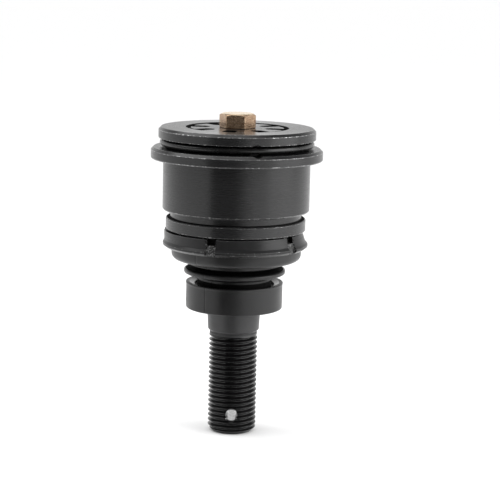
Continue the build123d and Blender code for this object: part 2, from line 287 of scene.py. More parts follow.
# finishes
blackedLook = {
    "dark": (0.008, 0.008, 0.0083), "light": (0.014, 0.014, 0.0145), "bare": (0.6, 0.6, 0.6),
    "cloudScale": 90, "lineScale": 4200, "chipScale": 1500, "chipLow": 0.53, "chipHigh": 0.58, "polish": 0.12,
    "roughLow": 0.22, "roughHigh": 0.3, "lineDepth": 0.004, "brushed": 0.0, "gloss": 0.47,
    "film": 0.0, "filmRough": 0.2, "bareMetal": 0.9, "lineBump": 0.35,
}


def blackedSteel(name, **changes):
    look = {**blackedLook, **changes}
    material, tree, shader = newFinish(name)
    place = objectPlace(tree)
    lines = grain(tree, latheLines(tree, place), look["lineScale"], detail=2.0)
    cloud = grain(tree, place, look["cloudScale"])
    edge = node(tree, "Attribute", attribute_name="edgeWear").outputs["Fac"]
    chips = ramp(tree, grain(tree, place, look["chipScale"], detail=6.0), look["chipLow"], look["chipHigh"])
    worn = math2(tree, "MULTIPLY", edge, math2(tree, "MAXIMUM", chips, look["polish"]))
    coat = tinted(tree, cloud, look["dark"], look["light"])
    tree.links.new(tinted(tree, worn, coat, look["bare"]), shader.inputs["Base Color"])
    tree.links.new(math2(tree, "MULTIPLY", worn, look["bareMetal"]), shader.inputs["Metallic"])
    roughened(tree, shader, lines, look["roughLow"], look["roughHigh"])
    shader.inputs["Specular IOR Level"].default_value = look["gloss"]
    shader.inputs["Anisotropic"].default_value = look["brushed"]
    shader.inputs["Coat Weight"].default_value = look["film"]
    shader.inputs["Coat Roughness"].default_value = look["filmRough"]
    bumped(tree, shader, lines, look["lineBump"], look["lineDepth"])
    return material


studLook = {
    "shank": (0.027, 0.027, 0.028), "shankLight": (0.042, 0.042, 0.043),
    "thread": (0.003, 0.003, 0.0031), "threadLight": (0.006, 0.006, 0.0063),
    "shankRough": 0.4, "threadRough": 0.12, "lineScale": 3600, "cloudScale": 120,
    "roughSpread": 0.06, "threadFade": 0.15, "gloss": 0.42, "lineBump": 0.25, "lineDepth": 0.008,
}


def studSteel(name, threadTop):
    # ground shank above the thread's top, blacked thread below it
    look = studLook
    material, tree, shader = newFinish(name)
    place = objectPlace(tree)
    height = node(tree, "SeparateXYZ", {"Vector": place}).outputs["Z"]
    fade = look["threadFade"]
    threaded = ramp(tree, height, (threadTop + fade) * mm, (threadTop - fade) * mm)
    lines = grain(tree, latheLines(tree, place), look["lineScale"], detail=2.0)
    cloud = grain(tree, place, look["cloudScale"])
    ground = tinted(tree, cloud, look["shank"], look["shankLight"])
    blacked = tinted(tree, cloud, look["thread"], look["threadLight"])
    tree.links.new(tinted(tree, threaded, ground, blacked), shader.inputs["Base Color"])
    rough = ramp(tree, threaded, 0.0, 1.0, look["shankRough"], look["threadRough"])
    spread = ramp(tree, lines, *grainSpan, -look["roughSpread"], look["roughSpread"])
    tree.links.new(math2(tree, "ADD", rough, spread), shader.inputs["Roughness"])
    shader.inputs["Specular IOR Level"].default_value = look["gloss"]
    bumped(tree, shader, lines, look["lineBump"], look["lineDepth"])
    return material


bootLook = {
    "dark": (0.009, 0.009, 0.0092), "light": (0.015, 0.015, 0.0153), "bloomScale": 140, "speckScale": 5200,
    "roughLow": 0.3, "roughHigh": 0.42, "gloss": 0.4, "speckBump": 0.25, "speckDepth": 0.015,
}


def bootRubber(name):
    look = bootLook
    material, tree, shader = newFinish(name)
    place = objectPlace(tree)
    bloom = grain(tree, place, look["bloomScale"], detail=4.0)
    speck = grain(tree, place, look["speckScale"], detail=2.0)
    tree.links.new(tinted(tree, bloom, look["dark"], look["light"]), shader.inputs["Base Color"])
    roughened(tree, shader, bloom, look["roughLow"], look["roughHigh"])
    shader.inputs["Specular IOR Level"].default_value = look["gloss"]
    bumped(tree, shader, speck, look["speckBump"], look["speckDepth"])
    return material


sealLook = {
    "dark": (0.005, 0.005, 0.005), "light": (0.01, 0.01, 0.01), "filmScale": 220, "speckScale": 3000,
    "roughLow": 0.2, "roughHigh": 0.32, "speckBump": 0.15, "speckDepth": 0.01,
}


def sealRubber(name):
    look = sealLook
    material, tree, shader = newFinish(name)
    place = objectPlace(tree)
    film = grain(tree, place, look["filmScale"], detail=3.0)
    tree.links.new(tinted(tree, film, look["dark"], look["light"]), shader.inputs["Base Color"])
    roughened(tree, shader, film, look["roughLow"], look["roughHigh"])
    bumped(tree, shader, grain(tree, place, look["speckScale"]), look["speckBump"], look["speckDepth"])
    return material


# crown is the colour of the painted highlight on the plug's top
brassLook = {
    "dark": (0.36, 0.2, 0.11), "light": (0.64, 0.48, 0.33), "stain": (0.16, 0.07, 0.03),
    "crown": (0.92, 0.74, 0.52), "crownHighlightDepth": 0.45, "crownHighlightFade": 0.15, "metal": 0.8,
    "drawn": (0.1, 0.1, 1), "streakScale": 3800, "stainScale": 900, "stainLow": 0.5, "stainHigh": 0.7,
    "stainMost": 0.7, "roughLow": 0.16, "roughHigh": 0.3, "streakBump": 0.3, "streakDepth": 0.015,
}


def drawnBrass(name, top):
    # side faces dull from handling, crown lighter as a painted highlight
    look = brassLook
    material, tree, shader = newFinish(name)
    place = objectPlace(tree)
    drawn = node(tree, "Mapping", {"Vector": place, "Scale": look["drawn"]}).outputs["Vector"]
    streaks = grain(tree, drawn, look["streakScale"], detail=3.0)
    blots = grain(tree, place, look["stainScale"], detail=6.0, rough=0.7)
    stain = ramp(tree, blots, look["stainLow"], look["stainHigh"], 0.0, look["stainMost"])
    metal = tinted(tree, ramp(tree, streaks, *grainSpan), look["dark"], look["light"])
    sides = tinted(tree, stain, metal, look["stain"])
    height = node(tree, "SeparateXYZ", {"Vector": place}).outputs["Z"]
    # painted highlight: the top band lighter than the sides
    crownHighlightFoot = top - look["crownHighlightDepth"]
    crown = ramp(tree, height, (crownHighlightFoot - look["crownHighlightFade"]) * mm, crownHighlightFoot * mm)
    tree.links.new(tinted(tree, crown, sides, look["crown"]), shader.inputs["Base Color"])
    shader.inputs["Metallic"].default_value = look["metal"]
    roughened(tree, shader, streaks, look["roughLow"], look["roughHigh"])
    bumped(tree, shader, streaks, look["streakBump"], look["streakDepth"])
    return material


speckBump = {"strength": 0.3, "depth": 0.02}


def speckledFinish(name, dark, light, metallic, roughLow, roughHigh, speckScale):
    # plain speckled surfaces: the ring's foot, the cup and the pieces that stay inside
    material, tree, shader = newFinish(name)
    place = objectPlace(tree)
    speck = grain(tree, place, speckScale, detail=4.0)
    tree.links.new(tinted(tree, speck, dark, light), shader.inputs["Base Color"])
    roughened(tree, shader, speck, roughLow, roughHigh)
    shader.inputs["Metallic"].default_value = metallic
    bumped(tree, shader, speck, **speckBump)
    return material


tornLook = {
    "dark": (0.008, 0.008, 0.008), "light": (0.2, 0.2, 0.2), "crumbScale": 1500, "brightLow": 0.5,
    "brightHigh": 0.62, "roughLow": 0.4, "roughHigh": 0.7, "crumbBump": 0.8, "crumbDepth": 0.12,
}


def tornSteel(name):
    # rough floor of the ring's slots
    look = tornLook
    material, tree, shader = newFinish(name)
    place = objectPlace(tree)
    crumbs = grain(tree, place, look["crumbScale"], detail=6.0, rough=0.7)
    bright = ramp(tree, crumbs, look["brightLow"], look["brightHigh"])
    tree.links.new(tinted(tree, bright, look["dark"], look["light"]), shader.inputs["Base Color"])
    roughened(tree, shader, crumbs, look["roughLow"], look["roughHigh"])
    bumped(tree, shader, crumbs, look["crumbBump"], look["crumbDepth"])
    return material


boredLook = {
    "dark": (0.4, 0.4, 0.4), "light": (0.7, 0.7, 0.7), "along": (0.1, 1, 0.1), "ringScale": 2600,
    "roughLow": 0.2, "roughHigh": 0.34, "ringBump": 0.3, "ringDepth": 0.01,
}


def boredSteel(name):
    # cross hole's wall, bright from the drill
    look = boredLook
    material, tree, shader = newFinish(name)
    place = objectPlace(tree)
    along = node(tree, "Mapping", {"Vector": place, "Scale": look["along"]}).outputs["Vector"]
    rings = grain(tree, along, look["ringScale"])
    tree.links.new(tinted(tree, rings, look["dark"], look["light"]), shader.inputs["Base Color"])
    roughened(tree, shader, rings, look["roughLow"], look["roughHigh"])
    shader.inputs["Metallic"].default_value = 1.0
    bumped(tree, shader, rings, look["ringBump"], look["ringDepth"])
    return material


# colours of the near-black painted shade
paintedShadeLook = {
    "dark": (0.001, 0.001, 0.001), "light": (0.003, 0.003, 0.003), "shadeGrainScale": 500,
    "roughLow": 0.7, "roughHigh": 0.9, "gloss": 0.15, "shadeGrainBump": 0.3, "shadeGrainDepth": 0.02,
}


def paintedShadeFinish(name):
    # painted shade: near-black put in grooves, notches, ports and the boot's hidden folds, where shade falls
    look = paintedShadeLook
    material, tree, shader = newFinish(name)
    shadeGrain = grain(tree, objectPlace(tree), look["shadeGrainScale"], detail=4.0)
    tree.links.new(tinted(tree, shadeGrain, look["dark"], look["light"]), shader.inputs["Base Color"])
    roughened(tree, shader, shadeGrain, look["roughLow"], look["roughHigh"])
    shader.inputs["Specular IOR Level"].default_value = look["gloss"]
    bumped(tree, shader, shadeGrain, look["shadeGrainBump"], look["shadeGrainDepth"])
    return material


faceLook = {"roughLow": 0.22, "roughHigh": 0.34, "brushed": 0.7, "gloss": 0.38, "film": 0.4}
ringLook = {
    "lineScale": 2600, "roughLow": 0.26, "roughHigh": 0.4, "polish": 0.05, "chipLow": 0.58, "chipHigh": 0.7,
    "gloss": 0.35,
}
finish = {
    "housing": blackedSteel("blackedHousing"),
    "disc": blackedSteel("blackedDisc", **faceLook),
    "face": blackedSteel("blackedFace", **faceLook),
    "ring": blackedSteel("blackedRing", **ringLook),
    "torn": tornSteel("tornSlotFloor"),
    "bored": boredSteel("boredSteel"),
    # painted shade for grooves, notches, ports and hidden folds
    "paintedShade": paintedShadeFinish("paintedShadeBlack"),
    "boot": bootRubber("mouldedBoot"),
    "seal": sealRubber("sealRubber"),
    "brass": drawnBrass("drawnBrass", topOf("grease_plug")),
}
speckledLooks = {  # name, dark and light tone, metal, lowest and highest roughness, speck scale
    "rubbed": ("rubbedSteel", (0.03, 0.03, 0.03), (0.1, 0.1, 0.1), 1.0, 0.24, 0.36, 1600),
    "cup": ("cupRubber", (0.008, 0.008, 0.008), (0.02, 0.02, 0.02), 0.0, 0.12, 0.2, 700),
    "spring": ("oiledSpring", (0.2, 0.2, 0.2), (0.34, 0.33, 0.32), 1.0, 0.25, 0.4, 800),
    "bearing": ("sinteredIron", (0.07, 0.065, 0.06), (0.16, 0.15, 0.14), 0.8, 0.45, 0.7, 2400),
    "pad": ("padNylon", (0.62, 0.6, 0.54), (0.74, 0.72, 0.66), 0.0, 0.35, 0.5, 600),
    "lock": ("lockSteel", (0.011, 0.011, 0.011), (0.03, 0.03, 0.03), 0.0, 0.3, 0.5, 900),
}
for key, look in speckledLooks.items():
    finish[key] = speckledFinish(*look)
print("finishes ready:", len(finish))


def dressed(piece, *finishNames):
    for finishName in finishNames:
        piece.data.materials.append(finish[finishName])


def fitted(piece, body, slotName, *nodes):
    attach(piece, body)
    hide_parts(*nodes)


# housing
housing = {
    "rimRadius": 32.0, "rimChamfer": 1.1, "rimBottom": 8.4,
    "grooveFloor": 28.8, "flangeTop": 4.6, "flangeChamfer": 1.1, "edgeBreak": 0.35,
    "barrelRadius": 30.0, "barrelBottom": -21.0, "barrelLead": 0.6,
    "snapFloor": 26.8, "landRadius": 28.6, "landTop": -24.1, "landBottom": -28.9,
    "seatRadius": 26.0, "seatEnd": -31.6, "noseRadius": 22.0,
    "mouthRadius": 18.4, "throatRadius": 15.0, "throat": -26.0,
    "bearingRadius": 19.0, "threadRadius": 20.0, "threadLead": 1.0, "threadDip": 2.2, "boreStep": 3.8,
    "lockAngle": 285, "lockHeight": 6.5, "lockRadius": 3.0, "moonRadius": 2.5, "drillOverlap": 0.5,
    "seatShade": 0.5, "grooveShade": 0.6, "snapShade": 1.2, "snapShadeRise": 0.6, "faceSkin": 0.05,
    "faceDepth": 0.01, "around": 192, "drillClear": 5,
}


def makeHousing():
    h = housing
    top = topOf("housing")
    flangeRadius = radiusOf("housing")
    mouth = bottomOf("housing")
    lead = h["edgeBreak"]
    corners = [
        (h["threadRadius"], top - h["threadDip"], 0.1),
        (h["threadRadius"] + h["threadLead"], top, 0.12),
        (h["rimRadius"] - h["rimChamfer"], top, 0.12),
        (h["rimRadius"], top - h["rimChamfer"], 0.25),
        (h["rimRadius"], h["rimBottom"], 0.14),
        (h["grooveFloor"], h["rimBottom"], 0.3),
        (h["grooveFloor"], h["flangeTop"], 0.3),
        (flangeRadius - h["flangeChamfer"], h["flangeTop"], 0.12),
        (flangeRadius, h["flangeTop"] - h["flangeChamfer"], 0.22),
        (flangeRadius, lead, 0.15),
        (flangeRadius - lead, 0.0, 0.15),
        (h["barrelRadius"], 0.0, 0.3),
        (h["barrelRadius"], h["barrelBottom"] + h["barrelLead"], 0.1),
        (h["barrelRadius"] - h["barrelLead"], h["barrelBottom"], 0.1),
        (h["snapFloor"], h["barrelBottom"], 0.3),
        (h["snapFloor"], h["landTop"], 0.3),
        (h["landRadius"] - lead, h["landTop"], 0.08),
        (h["landRadius"], h["landTop"] - lead, 0.08),
        (h["landRadius"], h["landBottom"] + lead, 0.1),
        (h["landRadius"] - lead, h["landBottom"], 0.1),
        (h["seatRadius"], h["landBottom"], 0.2),
        (h["seatRadius"], h["seatEnd"], 0.2),
        (h["noseRadius"], h["seatEnd"], 0.2),
        (h["noseRadius"], mouth, 0.2),
        (h["mouthRadius"], mouth, 0.2),
        (h["throatRadius"], h["throat"], 0.2),
        (h["bearingRadius"], h["throat"], 0.2),
        (h["bearingRadius"], h["boreStep"], 0.2),
        (h["threadRadius"], h["boreStep"], 0.2),
    ]
    piece = skinned("housingBody", spun(softened(corners), evenAngles(h["around"])), closed=True)
    dressed(piece, "housing", "paintedShade", "face")
    # faces in these zones get painted shade: the seat seen through the ring's ports, the groove under the
    # rim, the bore's lead-in round the adjuster and the snap groove
    paintedShadeZones = [  # (lowest, highest, radius limit)
        (h["seatEnd"], h["landBottom"], h["seatRadius"] + h["seatShade"]),
        (h["flangeTop"], h["rimBottom"], h["grooveFloor"] + h["grooveShade"]),
        (top - h["threadDip"], top - h["faceSkin"], h["threadRadius"] + h["threadLead"]),
        (h["landTop"] - h["faceSkin"], h["landTop"] + h["snapShadeRise"], h["snapFloor"] + h["snapShade"]),
    ]
    for face in piece.data.polygons:
        middle = face.center / mm
        for low, high, limit in paintedShadeZones:
            if low < middle.z < high and middle.xy.length < limit:
                face.material_index = 1
        if middle.z > top - h["faceDepth"]:
            face.material_index = 2
    cutters = []
    lockSpot = at(0, 0, h["lockHeight"]) @ outwards(math.radians(h["lockAngle"]))
    for name, radius, low, high in (
        ("lockDrill", h["lockRadius"], h["bearingRadius"], h["grooveFloor"] + h["drillOverlap"]),
        ("moonDrill", h["moonRadius"], h["grooveFloor"], flangeRadius + h["drillClear"]),
    ):
        cutter = placed(barCutter(name, 0.0, radius, low, high), lockSpot)
        # painted shade on the walls of the drilled holes
        dressed(cutter, "paintedShade")
        cutters.append(cutter)
    carved(piece, cutters)
    fitted(piece, "housing", "black_steel", "housing")


makeHousing()
print("housing turned")

# adjuster disc
adjuster = {
    "boreRadius": 5.05, "chamfer": 0.5, "threadLead": 1.0, "threadDip": 2.2,
    "notches": 8, "firstNotch": 35, "notchWidth": 5.4, "notchDepth": 2.6, "notchLength": 8.5,
    "millClear": 2, "faceSkin": 0.05, "around": 160,
}


def makeAdjuster():
    a = adjuster
    top, bottom, radius = topOf("adjuster_plug"), bottomOf("adjuster_plug"), radiusOf("adjuster_plug")
    lead = a["chamfer"]
    corners = [
        (a["boreRadius"], top, 0.1),
        (radius - a["threadLead"], top, 0.12),
        (radius, top - a["threadDip"], 0.15),
        (radius, bottom + lead, 0.15),
        (radius - lead, bottom, 0.15),
        (a["boreRadius"], bottom, 0.1),
    ]
    piece = skinned("adjusterDisc", spun(softened(corners), evenAngles(a["around"])), closed=True)
    dressed(piece, "disc", "paintedShade")
    # painted shade on the lead-in round the top edge
    for face in piece.data.polygons:
        middle = face.center / mm
        inShadedGroove = top - a["threadDip"] < middle.z < top - a["faceSkin"]
        if inShadedGroove and middle.xy.length > radius - a["threadLead"]:
            face.material_index = 1
    cutters = []
    half = a["notchWidth"] / 2
    innerCentre = radius - a["notchLength"] + half
    for i in range(a["notches"]):
        angle = math.radians(a["firstNotch"] + 360 * i / a["notches"])
        cutter = barCutter("notchMill", radius / 2, half, top - a["notchDepth"], top + a["millClear"])
        placed(cutter, Matrix.Rotation(angle, 4, "Z") @ at(innerCentre + radius / 2, 0, 0))
        # painted shade on the notches' cut faces
        dressed(cutter, "paintedShade")
        cutters.append(cutter)
    carved(piece, cutters)
    fitted(piece, "housing", "black_steel", "adjuster_plug")


makeAdjuster()
print("adjuster notched")

# grease plug
plug = {
    "acrossFlats": 13.0, "seat": 12.6, "firstCorner": -6.6, "cornerRound": 0.2,
    "crownInset": 0.4, "crownAngle": 30, "crownDome": 0.25,
    "threadRadius": 5.0, "threadLead": 1.0, "footBreak": 0.25, "footWear": 0.6,
    "edgeBand": 0.35, "edgeBreak": 0.08, "edgeInset": 0.1, "domeShares": (1.0, 0.97, 0.85, 0.6, 0.3),
    "around": 180, "bend": 28,
}


def makeGreasePlug():
    p = plug
    top, bottom = topOf("grease_plug"), bottomOf("grease_plug")
    flat = p["acrossFlats"] / 2
    crown = flat - p["crownInset"]
    slope = math.tan(math.radians(p["crownAngle"]))
    angles = evenAngles(p["around"])

    def hexRadius(angle, shrink=0.0):
        # the hexagon's reach at that angle, eased where two flats meet
        turn = (angle - math.radians(p["firstCorner"])) % (math.pi / 3) - math.pi / 6
        sharp = (flat - shrink) / math.cos(turn)
        limit = (flat - shrink) / math.cos(math.pi / 6) - p["cornerRound"] / 4
        return sharp - max(0.0, sharp - limit + p["cornerRound"] / 3) ** 2 / p["cornerRound"]

    def level(radiusAt, heightAt, edge):
        row = []
        for angle in angles:
            wide = radiusAt(angle)
            row.append((wide * math.cos(angle), wide * math.sin(angle), heightAt(wide), edge))
        return row

    def chamferHeight(wide):
        return top - p["crownDome"] - max(0.0, wide - crown) * slope

    def domeHeight(wide):
        return top - p["crownDome"] * (wide / crown) ** 2

    rows = [[(0, 0, bottom, 0)]]
    rows.append(level(lambda angle: p["threadRadius"] - p["threadLead"], lambda wide: bottom, 0))
    rows.append(level(lambda angle: p["threadRadius"], lambda wide: bottom + p["threadLead"], 0))
    rows.append(level(lambda angle: p["threadRadius"], lambda wide: p["seat"], 0))
    rows.append(level(lambda angle: hexRadius(angle, p["footBreak"]), lambda wide: p["seat"], 0))
    rows.append(level(hexRadius, lambda wide: p["seat"] + p["footBreak"], p["footWear"]))
    rows.append(level(hexRadius, lambda wide: p["seat"] + 2 * p["footBreak"], 0))
    rows.append(level(hexRadius, lambda wide: chamferHeight(wide) - p["edgeBand"], 0))
    rows.append(level(hexRadius, lambda wide: chamferHeight(wide) - p["edgeBreak"], 1))
    rows.append(level(lambda angle: hexRadius(angle) - p["edgeInset"], chamferHeight, 1))
    for share in p["domeShares"]:
        rows.append(level(lambda angle, share=share: crown * share, domeHeight, 0))
    rows.append([(0, 0, top, 0)])
    piece = skinned("greasePlug", rows, bend=p["bend"])
    dressed(piece, "brass")
    fitted(piece, "housing", "brass", "grease_plug")


makeGreasePlug()
print("grease plug made")

# seal in the outer groove
seal = {"sectionSteps": 40, "around": 192}


def makeSealRing():
    low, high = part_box("groove_o_ring")
    section = (high.z - low.z) / 2 / mm
    middle = high.x / mm - section
    height = (high.z + low.z) / 2 / mm
    outline = []
    for angle in evenAngles(seal["sectionSteps"]):
        outline.append((middle + section * math.cos(angle), height + section * math.sin(angle), 0.0))
    piece = skinned("sealRing", spun(outline, evenAngles(seal["around"])), closed=True)
    dressed(piece, "seal")
    fitted(piece, "housing", "seal_rubber", "groove_o_ring")


makeSealRing()
print("seal ring made")

# retaining ring
retainer = {
    "seatRadius": 26.0, "seatHeight": 2.2, "topRadius": 28.3, "waistRadius": 28.9, "wallHeight": 3.8,
    "lipRise": 1.1, "lipBand": 0.9, "footRadius": 28.4, "slots": 5, "firstSlot": 251,
    "portWidth": 3.7, "portHeight": 2.4, "pocketWidth": 4.4, "pocketDepth": 0.8,
    "crimp": 0.9, "millClear": 2, "pocketReach": 4, "rubbedMargin": 0.1, "around": 200,
}


def makeRetainingRing():
    r = retainer
    top, bottom = topOf("boot_retaining_ring"), bottomOf("boot_retaining_ring")
    lip = radiusOf("boot_retaining_ring")
    bead = radiusOf("boot_shoulder")
    waist = top - r["wallHeight"]
    lipTop = waist - r["lipRise"]
    lipBottom = lipTop - r["lipBand"]
    corners = [
        (r["seatRadius"], top, 0.1),
        (r["topRadius"], top, 0.18),
        (r["waistRadius"], waist, 0.5),
        (lip, lipTop, 0.2),
        (lip, lipBottom, 0.2),
        (r["footRadius"], bottom, 0.15),
        (bead, bottom, 0.1),
        (bead, top - r["seatHeight"], 0.1),
        (r["seatRadius"], top - r["seatHeight"], 0.1),
    ]

    def crimpShift(angle, height):
        # wall pressed in on the right and out on the left, fading towards the lip
        return -r["crimp"] * math.cos(angle) * max(0.0, height - lipTop) / (top - lipTop)

    rows = spun(softened(corners), evenAngles(r["around"]), crimpShift)
    piece = skinned("retainingRing", rows, closed=True)
    dressed(piece, "ring", "rubbed")
    for face in piece.data.polygons:
        middle = face.center / mm
        onFoot = bottom + r["rubbedMargin"] < middle.z < lipBottom
        if onFoot and middle.xy.length > r["footRadius"] - r["rubbedMargin"]:
            face.material_index = 1
    lean = math.atan2(r["waistRadius"] - r["topRadius"], r["wallHeight"])
    inner, outer = r["seatRadius"] - r["millClear"], lip + r["millClear"]
    cutters = []
    for i in range(r["slots"]):  # a port through the wall and a pocket that runs down through the lip
        angle = math.radians(r["firstSlot"] + 360 * i / r["slots"])
        port = blockCutter("portMill", 2 * r["portHeight"], r["portWidth"], inner, outer)
        placed(port, at(0, 0, top) @ outwards(angle))
        # painted shade on the ports' cut faces
        dressed(port, "paintedShade")
        pocket = blockCutter("pocketMill", 4 * (top - bottom), r["pocketWidth"], 0, r["pocketReach"])
        radial = r["topRadius"] - r["pocketDepth"]
        spot = at(radial * math.cos(angle), radial * math.sin(angle), top)
        placed(pocket, spot @ outwards(angle, lean))
        dressed(pocket, "torn")
        cutters += [port, pocket]
    carved(piece, cutters)
    fitted(piece, "housing", "black_steel", "boot_retaining_ring")


makeRetainingRing()
print("retaining ring slotted")

# rubber boot
boot = {
    "beadRadius": 22.0, "shoulderRound": 2.6, "leanTop": -36.2, "wall": 1.7, "valleyWall": 1.0,
    "lipRadius": 19.0, "lipBottom": -43.3, "valleyRadius": 15.9, "valley": -44.4,
    "foldRadius": 20.8, "foldTop": -45.3, "foldBottom": -46.9,
    "neckRadius": 15.2, "neckTop": -48.4, "bendEnd": -50.0,
    "cupFloor": -52.8, "cupRim": 1.2, "cupFoot": 16.2, "cupLedge": -51.5,
    "collarRound": 0.6, "collarDrop": 0.3, "beadRise": 0.2, "beadHeight": 1.0,
    "chamberBottom": -54.6, "boreTop": -55.8, "boreRadius": 11.4, "boreBottomRadius": 11.11,
    "partLine": 234.5, "partDepth": 0.12, "partWidth": 0.9, "partFade": 1.6,
    "partSteps": (-1.5, -0.75, -0.35, 0, 0.35, 0.75, 1.5), "around": 144, "arcSteps": 6, "neckSteps": 8,
    "sideways": 0.5, "sideRise": 4, "sideFall": 3, "leanStep": 1.3, "valleyShade": 0.6, "neckShade": 0.8,
    "ledgeSlope": 0.2, "ledgeShade": 0.2, "rimSkin": 0.1,
}


def partLineAngles(count):
    # even steps, with a few more beside the two halves' parting line
    angles = evenAngles(count)
    for side in (0, 180):
        for offset in boot["partSteps"]:
            angles.append(math.radians((boot["partLine"] + side + offset * boot["partWidth"]) % 360))
    return sorted(set(angles))


def partLineShift(angle, height):
    # a fine groove along the parting line, the same at every height
    away = (math.degrees(angle) - boot["partLine"] + 90) % 180 - 90
    return -boot["partDepth"] * math.exp(-(away / boot["partWidth"] * boot["partFade"]) ** 2)


def makeBootShoulder():
    # from the bead in the ring down to the valley
    b = boot
    shoulder, top, under = radiusOf("boot_shoulder"), topOf("boot_shoulder"), bottomOf("boot_shoulder")
    wall = b["wall"]
    corners = [
        (b["beadRadius"], top, 0.1),
        (shoulder, top, 0.1),
        (shoulder, b["leanTop"], 0),
        (shoulder, b["leanTop"] - b["leanStep"], 0),
        (shoulder, under, b["shoulderRound"]),
        (b["lipRadius"], under, 0.35),
        (b["lipRadius"], b["lipBottom"], 0.5),
        (b["valleyRadius"], b["valley"], 0),
        (b["valleyRadius"] - b["valleyWall"], b["valley"], 0),
        (b["lipRadius"] - wall, b["lipBottom"] + wall / 2, 0.3),
        (b["lipRadius"] - wall, under + wall, 0.3),
        (b["beadRadius"], under + wall, 0.3),
        (b["beadRadius"], b["leanTop"], 0),
    ]

    def shoulderShift(angle, height):
        # the shoulder sits a little to the right of the axis
        rise = min(1.0, max(0.0, (top - height) / b["sideRise"]))
        fall = min(1.0, max(0.0, (height - b["valley"]) / b["sideFall"]))
        return partLineShift(angle, height) + b["sideways"] * math.cos(angle) * rise * fall

    rows = spun(softened(corners, b["arcSteps"]), partLineAngles(b["around"]), shoulderShift)
    piece = skinned("bootShoulder", rows, closed=True)
    dressed(piece, "boot", "paintedShade")
    # painted shade in the valley under the lip
    for face in piece.data.polygons:
        middle = face.center / mm
        if middle.z < b["lipBottom"] and middle.xy.length < b["lipRadius"] - b["valleyShade"]:
            face.material_index = 1
    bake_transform(piece)
    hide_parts("boot_shoulder")


def makeBootFold():
    # from the valley over the fold and down into the collar's cup
    b = boot
    wall = b["wall"]
    neckBore = b["neckRadius"] - wall
    steps, drop = b["neckSteps"], b["cupFloor"] - b["neckTop"]
    neckHeights = [b["neckTop"] + drop * i / steps for i in range(1, steps + 1)]
    corners = [
        (b["valleyRadius"], b["valley"], 0),
        (b["foldRadius"], b["foldTop"], 0.6),
        (b["foldRadius"], b["foldBottom"], 0.6),
        (b["neckRadius"], b["neckTop"], 0.4),
    ]
    corners += [(b["neckRadius"], height, 0) for height in neckHeights[1:]]
    corners += [(neckBore, height, 0) for height in reversed(neckHeights[1:])]
    corners += [
        (neckBore, b["neckTop"] + wall / 2, 0.3),
        (b["foldRadius"] - wall, (b["foldTop"] + b["foldBottom"]) / 2, 0.3),
        (b["valleyRadius"] - b["valleyWall"], b["valley"], 0),
    ]
    rows = spun(softened(corners, b["arcSteps"]), partLineAngles(b["around"]), partLineShift)
    piece = skinned("bootFold", rows, closed=True)
    dressed(piece, "boot", "paintedShade")
    # painted shade in the valley above the fold and on the neck down in the cup
    for face in piece.data.polygons:
        middle = face.center / mm
        inShadedValley = middle.z > b["foldTop"] and middle.xy.length < b["lipRadius"] - b["valleyShade"]
        if inShadedValley or middle.z < b["neckTop"] - b["neckShade"]:
            face.material_index = 1
    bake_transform(piece)
    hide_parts("boot_fold")


def makeBootCollar():
    b = boot
    radius, top = radiusOf("boot_collar"), topOf("boot_collar")
    bottom = bottomOf("boot_collar") - b["collarDrop"]
    bore = b["neckRadius"] - b["wall"]
    corners = [
        (radius - b["cupRim"], top, 0.3),
        (radius + b["beadRise"], top, 0.3),
        (radius, top - b["beadHeight"], 0.5),
        (radius, bottom, b["collarRound"]),
        (b["boreBottomRadius"], bottom, 0.2),
        (b["boreRadius"], b["boreTop"], 0.1),
        (bore, b["chamberBottom"], 0.2),
        (bore, b["cupFloor"], 0.1),
        (b["cupFoot"], b["cupFloor"], 0.2),
        (b["cupFoot"] + b["ledgeSlope"], b["cupLedge"], 0.3),
    ]
    rows = spun(softened(corners, b["arcSteps"]), partLineAngles(b["around"]), partLineShift)
    piece = skinned("bootCollar", rows, closed=True)
    dressed(piece, "boot", "cup")
    for face in piece.data.polygons:
        middle = face.center / mm
        inCup = b["cupLedge"] - b["ledgeShade"] < middle.z < top - b["rimSkin"]
        if inCup and middle.xy.length < radius - b["cupRim"]:
            face.material_index = 1
    fitted(piece, "boot_end", "boot_rubber", "boot_collar")


makeBootShoulder()
makeBootFold()
makeBootCollar()
print("boot moulded")

# ball stud
stud = {
    "ballCentre": -15.0, "ballFlat": 2.0, "neckRadius": 9.0, "neckBottom": -38.0,
    "waistRadius": 6.3, "waistTop": -46.4, "flareTop": -48.0,
    "taperTop": -51.0, "taperBottom": -70.4, "taperRadius": 10.55, "taperRatio": 0.05,
    "reliefRadius": 9.8, "undercut": 0.32, "undercutWidth": 0.6,
    "threadTop": -72.6, "threadRadius": 10.0, "pitch": 2.0, "threadDepth": 1.2, "crest": 0.2, "root": 0.35,
    "firstCrest": -74.1, "endChamfer": 1.8, "drillRadius": 2.5, "drillDepth": 4.0,
    "cotterHeight": -105.2, "cotterRadius": 2.4, "cotterLead": 0.5, "cotterSides": 64, "cotterAngle": 270,
    "drillClear": 3, "ballSteps": 32, "around": 144, "rowsPerPitch": 20, "threadFade": 0.8,
    "flankRound": 0.25, "bend": 50,
}


def threadGroove(angle, height):
    # depth below the crest, from 0 on the crest to 1 in the root
    s = stud
    along = (s["firstCrest"] - height) / s["pitch"] + angle / (2 * math.pi)
    away = abs((along + 0.5) % 1.0 - 0.5) * s["pitch"]
    flank = (s["pitch"] - s["crest"] - s["root"]) / 2
    share = min(1.0, max(0.0, (away - s["crest"] / 2) / flank))
    eased = share * share * (3 - 2 * share)
    return share * (1 - s["flankRound"]) + s["flankRound"] * eased


